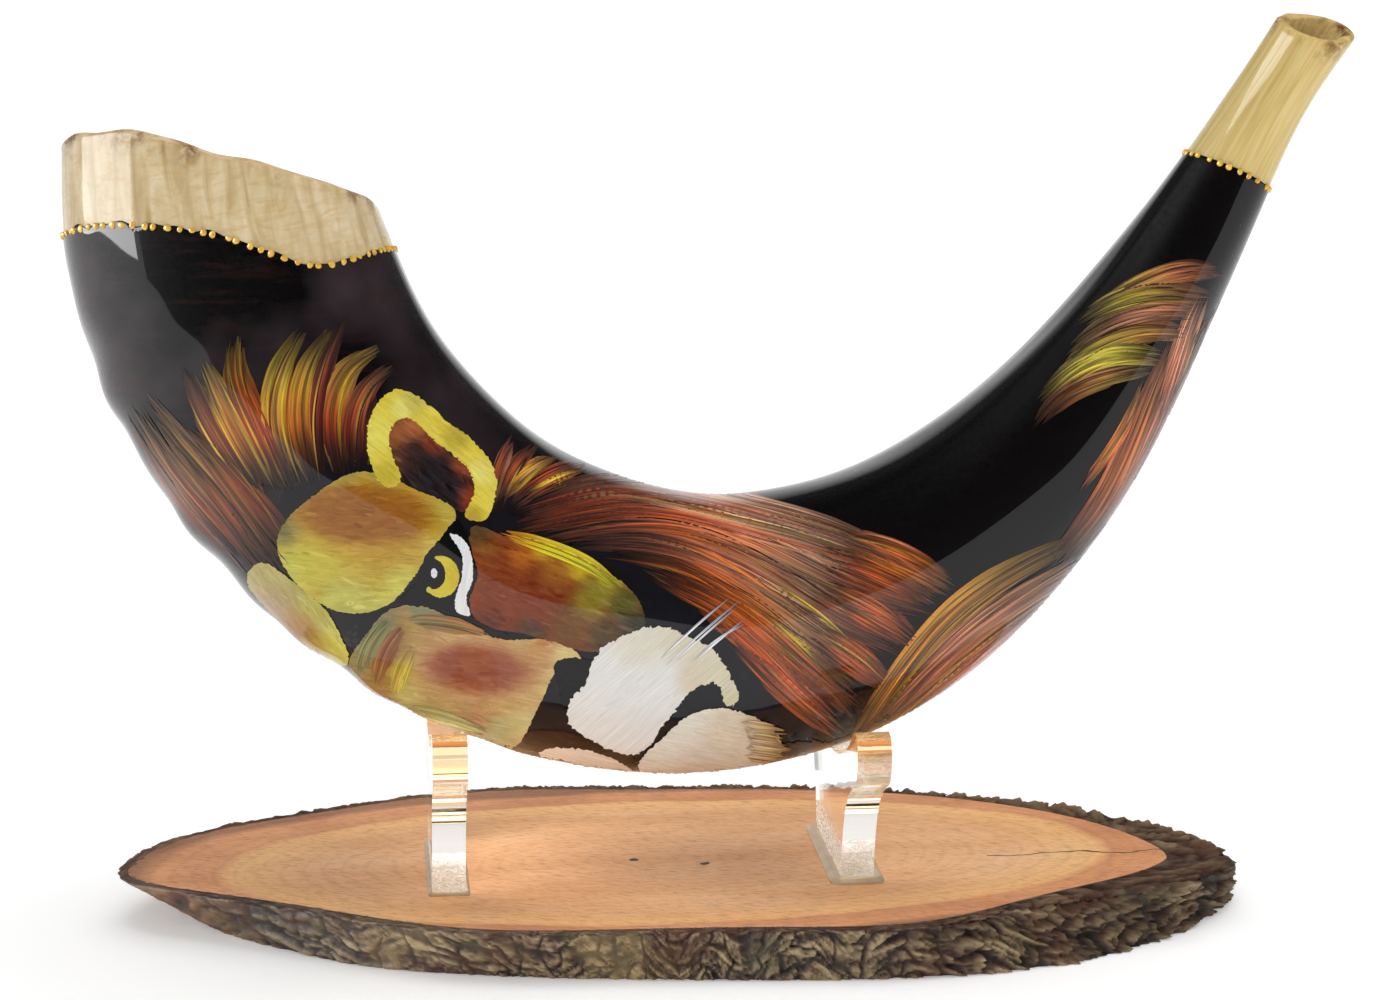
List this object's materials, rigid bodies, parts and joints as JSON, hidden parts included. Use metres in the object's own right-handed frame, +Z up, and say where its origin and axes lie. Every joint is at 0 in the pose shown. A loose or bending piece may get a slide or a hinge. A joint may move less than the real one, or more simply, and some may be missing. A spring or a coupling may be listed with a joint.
{
  "type": "shofar on display stand",
  "caption": "Hollow ram's horn blown through its narrow end, painted and lacquered, lying in two clear cradles on a bark-edged slice of wood.",
  "frame": {"origin": "on the wood slice's underside, midway between the two cradles", "axes": "+X along the horn's span from the bell to the mouthpiece, +Y to the back, +Z up"},
  "size_m": [0.3032, 0.1263, 0.2181],
  "materials": {
    "horn": "glossy",
    "black_lacquer": "glossy",
    "gold_paint": "satin",
    "acrylic": "clear",
    "adhesive": "glossy",
    "wood": "lacquered",
    "bark": "rough"
  },
  "bodies": {
    "stand": {"slab_wood": "wood", "slab_bark": "bark", "left_cradle": "acrylic", "right_cradle": "acrylic", "left_adhesive": "adhesive", "right_adhesive": "adhesive"},
    "shofar": {"horn": "horn", "ground_coat": "black_lacquer", "bell_dots": "gold_paint", "mouthpiece_dots": "gold_paint"}
  },
  "joints": [
    {"name": "lift_off", "type": "slide", "parent": "stand", "child": "shofar", "axis": [0, 0, 1], "range_m": [0, 0.1]}
  ]
}
